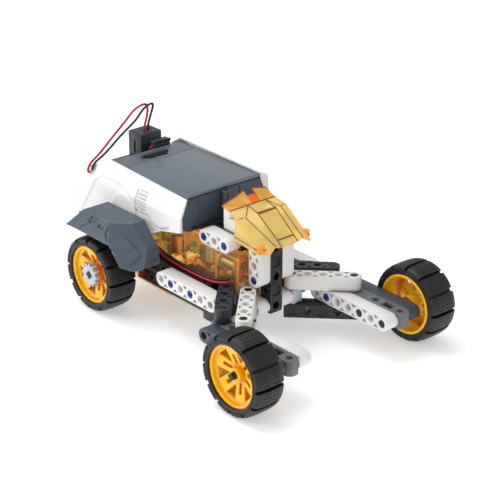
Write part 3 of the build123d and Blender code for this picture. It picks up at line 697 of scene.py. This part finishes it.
def canopy():
    """Faceted windshield with darker ribs on its folds."""
    net = bmesh.new()
    middle = [
        [HOOD_NOTCH, CREASE_MID, *mirrored(HOOD_NOTCH, CREASE_MID)],
        [CREASE_MID, CREASE, PANE_TOP, *mirrored(CREASE_MID, CREASE, PANE_TOP)],
        [PANE_TOP, PANE_LOW, *mirrored(PANE_TOP, PANE_LOW)],
        [PANE_LOW, LIP, *mirrored(PANE_LOW, LIP)],
    ]
    half = [
        [HOOD_STEP, HOOD_TOP, CREASE, CREASE_MID],
        [HOOD_TOP, HOOD_REAR, HOOD_SIDE, CREASE],
        [HOOD_STEP, CREASE_MID, HOOD_NOTCH],
        [CREASE, RIDGE_TOP, PANE_TOP],
        [PANE_TOP, RIDGE_TOP, RIDGE_LOW, PANE_LOW],
        [PANE_LOW, RIDGE_LOW, LIP],
        [CREASE, HOOD_SIDE, WING_TOP, RIDGE_TOP],
        [RIDGE_TOP, WING_TOP, WING_REAR, WING_LOW, WING_TIP, RIDGE_LOW],
    ]
    hood = half[:2]
    notch = (middle[0], half[2])
    for corners in middle + half:
        for points in [corners] if corners in middle else [corners, mirrored(*corners)]:
            face = net.faces.new([net.verts.new(at(*point)) for point in points])
            # hood faces take the orange copy of the tint, painted reflection and light from behind
            face.material_index = 1 if corners in hood else 2 if corners in notch else 0
    bmesh.ops.remove_doubles(net, verts=net.verts, dist=0.05 * MM)
    bmesh.ops.connect_verts_nonplanar(net, faces=net.faces, angle_limit=math.radians(4))
    face_outwards(net, at(100, 0, 70))
    mesh = mesh_of(net, "canopy")
    for look in ("amber_clear", "amber_hood_painted_light", "amber_glow"):
        mesh.materials.append(MATERIALS[look])
    show(mesh, "windshield", "amber_clear", "canopy", skin=1.4, rounding=0.35)
    rod([PANE_TOP, *mirrored(PANE_TOP)], 0.75, "rib_middle", "amber_rib", "canopy")
    rod([PANE_LOW, *mirrored(PANE_LOW)], 0.45, "rib_bottom", "amber_rib", "canopy")
    rod([HOOD_SIDE, CREASE, *mirrored(HOOD_SIDE, CREASE)], 0.42, "rib_crease", "amber_rib", "canopy")
    for side, sign in (("left", 1), ("right", -1)):
        ribs = {
            "ridge": [CREASE, RIDGE_TOP, RIDGE_LOW],
            "pane": [CREASE, PANE_TOP, PANE_LOW, LIP],
            "short": [(99.6, 19.6, 85.6), (101.4, 15.8, 86.4)],
            "wing": [(98.6, 21.1, 74.2), (119.0, 20.9, 72.3), (125.2, 17.8, 73.2)],
            "hood": [HOOD_STEP, HOOD_TOP, HOOD_REAR],
        }
        for name, points in ribs.items():
            line = [(x, sign * y, z) for x, y, z in points]
            rod(line, FOLD_RIB_R, f"rib_{name}_{side}", "amber_rib", "canopy")
        place = (121.2, sign * 19.0, 72.6)
        drum(f"socket_{side}", place, 2.4, 6.6, "Z", "amber_socket", "canopy", rounding=1.6)


# ---------------------------------------------------------------- plug box and housing

def plug_box_details():
    """Side slot, raised ledge with its dark lip and the red ring on the plug box."""
    box = "plug_box"
    block("plug_ledge", (-25.2, 7.6, 88.0), (-19.6, 21.4, 96.6), "slate_deep", box)
    block("plug_lip", (-19.8, 7.4, 95.2), (-19.0, 21.6, 97.2), "black", box)
    drum("plug_ring", (-19.4, 5.6, 93.4), 2.0, 1.0, "X", "red", box, bore=1.2)
    drum("plug_key_top", (-33.4, 0.5, 96.2), 1.5, 0.6, "Y", "black", box)
    block("plug_key_slot", (-34.0, 0.2, 86.0), (-32.8, 0.8, 96.2), "black", box, rounding=0.1)
    for i, x in enumerate((-37.6, -29.6)):
        block(f"plug_line_{i}", (x, 0.25, 82.0), (x + 0.5, 0.7, 100.6), "black", box, rounding=0.1)


def housing_details():
    """Lines moulded on the housing's front, a black sill, the seam across the lid and dashes of painted shadow
    along the lid's left edge.
    """
    housing = "panel_housing"
    for i, y in enumerate((-22.0, 12.6)):
        low, high = (63.9, y, 72.0), (64.35, y + 0.6, 89.6)
        block(f"housing_line_{i}", low, high, "slate_dark", housing, rounding=0.1)
    block("housing_sill", (62.0, -27.0, 69.0), (65.2, 27.0, 70.4), "black", housing)
    block("panel_seam", (-1.15, -28.6, 92.75), (-0.75, 28.6, 93.04), "black", "solar_lid", rounding=0.05)
    # painted shadow: black dashes along the lid's left edge
    for i, (start, end) in enumerate(((-17.0, 6.5), (8.5, 24.0), (26.0, 44.0), (46.0, 63.4))):
        low, high = (start, 29.75, 92.8), (end, 30.15, 93.05)
        block(f"panel_edge_shadow_{i}", low, high, "black", "solar_lid", rounding=0.05)


# ---------------------------------------------------------------- gearbox

def gearbox_details():
    """Ribs moulded inside the clear case and the fixed pieces that show through its right side."""
    case = "gearbox_case_right"
    for i, x in enumerate((20.5, 47.5, 79.0, 100.5)):
        low_z = 33.0 if x < 82 else 43.0
        block(f"case_rib_{i}", (x, -20.8, low_z), (x + 0.6, -19.2, 60.4), "gold_clear", case)
    block("case_shelf", (19.0, -20.8, 58.0), (101.0, -18.6, 58.6), "gold_clear", case)
    for i, (x, z) in enumerate(((37.0, 40.0), (44.5, 43.5), (57.5, 41.0), (75.5, 45.0), (92.0, 47.0))):
        drum(f"case_pin_{i}", (x, -19.4, z), 1.1, 2.6, "Y", "gold_clear", case)
    block("case_partition", (66.0, -17.5, 40.0), (67.2, -6.0, 60.0), "gold_clear", case)
    block("case_divider", (19.0, -8.8, 43.0), (102.0, -8.3, 60.0), "gold_clear", case, rounding=0.1)
    block("block_lime", (21.4, -20.0, 46.0), (24.6, -17.4, 60.0), "gear_lime", case)
    drum("post_lime", (29.6, -17.6, 47.5), 2.4, 15.0, "Z", "gear_lime", case)
    for i, (x, look) in enumerate(((33.0, "gear_red"), (36.2, "orange_solid"), (44.0, "gear_red"))):
        drum(f"post_{i}", (x, -17.8, 46.2), 1.4, 13.0, "Z", look, case)
    drum("post_gold", (39.0, -17.8, 47.0), 1.5, 13.0, "Z", "gold_clear", case)
    drum("crown_lime", (53.0, -9.6, 48.6), 9.6, 3.6, "Z", "gear_lime", case, teeth=18, bore=6.4)
    drum("crown_hub", (53.0, -9.6, 52.0), 4.0, 9.0, "Z", "gold_clear", case)
    drum("damper_white", (70.4, -16.6, 49.6), 3.6, 19.0, "Z", "gear_white", case)
    drum("damper_ring", (70.4, -16.6, 45.4), 3.9, 3.0, "Z", "gear_red", case)
    drum("shaft_cover", (86.5, -13.5, 50.2), 4.6, 18.0, "X", "motor_steel", case)
    drum("shaft_collar", (79.0, -13.5, 50.2), 5.4, 2.4, "X", "gear_white", case)
    drum("coupling_crown", (98.0, -13.4, 52.0), 6.8, 3.0, "X", "orange_solid", case, teeth=14, bore=3.4)
    drum("coupling_disc", (95.0, -13.4, 52.0), 5.8, 2.4, "X", "gear_lime", case, teeth=12, bore=3.0)
    drum("coupling_post", (100.2, -18.4, 47.2), 1.5, 9.0, "Z", "orange_solid", case)
    block("cable_clip", (84.0, -24.6, 37.0), (94.0, -22.6, 40.6), "black", case, rounding=0.6)
    rod([(58.0, -21.4, 62.4), (61.4, -22.9, 66.2), (66.4, -22.9, 66.0), (68.0, -21.4, 62.6)], 0.9,
        "case_hook", "gold_clear", case)


# ---------------------------------------------------------------- stage

CAMERA_AZIMUTH = math.radians(49.18)
CAMERA_ELEVATION = math.radians(24.42)
CAMERA_DISTANCE = 1.0
CAMERA_TARGET = Vector((-0.0055, 0.0243, 0.0389))
CAMERA_LENS = 107.8


def camera():
    away = Vector((math.sin(CAMERA_AZIMUTH) * math.cos(CAMERA_ELEVATION),
                   -math.cos(CAMERA_AZIMUTH) * math.cos(CAMERA_ELEVATION),
                   math.sin(CAMERA_ELEVATION)))
    eye = bpy.data.objects.new("camera", bpy.data.cameras.new("camera"))
    eye.data.lens = CAMERA_LENS
    eye.data.clip_start = 0.01
    eye.location = CAMERA_TARGET + away * CAMERA_DISTANCE
    eye.rotation_mode = "QUATERNION"
    eye.rotation_quaternion = (-away).to_track_quat("-Z", "Y")
    bpy.context.collection.objects.link(eye)
    bpy.context.scene.camera = eye


def softbox(name, place, size, power):
    """Large square light aimed at the rover."""
    lamp = bpy.data.objects.new(name, bpy.data.lights.new(name, "AREA"))
    lamp.data.size = size
    lamp.data.energy = power
    lamp.location = place
    lamp.rotation_mode = "QUATERNION"
    lamp.rotation_quaternion = (Vector((0, 0, 0.05)) - Vector(place)).to_track_quat("-Z", "Y")
    bpy.context.collection.objects.link(lamp)


def studio():
    world = bpy.data.worlds.new("studio")
    world.use_nodes = True
    world.node_tree.nodes["Background"].inputs["Color"].default_value = (1, 1, 1, 1)
    world.node_tree.nodes["Background"].inputs["Strength"].default_value = 0.56
    bpy.context.scene.world = world
    softbox("overhead", (-0.25, -0.1, 0.9), 0.6, 3.6)
    softbox("front", (0.9, -0.5, 0.5), 0.5, 1.2)
    softbox("side", (-0.5, -0.8, 0.45), 0.4, 2.6)
    bpy.ops.mesh.primitive_plane_add(size=6)
    floor = bpy.context.object
    floor.name = "floor"
    floor.location.z = cad_box[0].z - 0.0001
    paper = Shader("paper")
    paper.link(paper.mix(paper.noise(3), (0.93, 0.93, 0.93, 1), (0.95, 0.95, 0.95, 1)),
               paper.surface.inputs["Base Color"])
    paper.surface.inputs["Roughness"].default_value = 0.9
    paper.surface.inputs["Emission Color"].default_value = (1, 1, 1, 1)
    paper.surface.inputs["Emission Strength"].default_value = 0.36
    floor.data.materials.append(paper.material)
    bpy.context.scene.view_settings.view_transform = "Standard"


finish_cad()
tyres()
for side, sign in (("left", 1), ("right", -1)):
    fender(side, sign)
    body_shell(side, sign)
canopy()
plug_box_details()
housing_details()
gearbox_details()
camera()
studio()
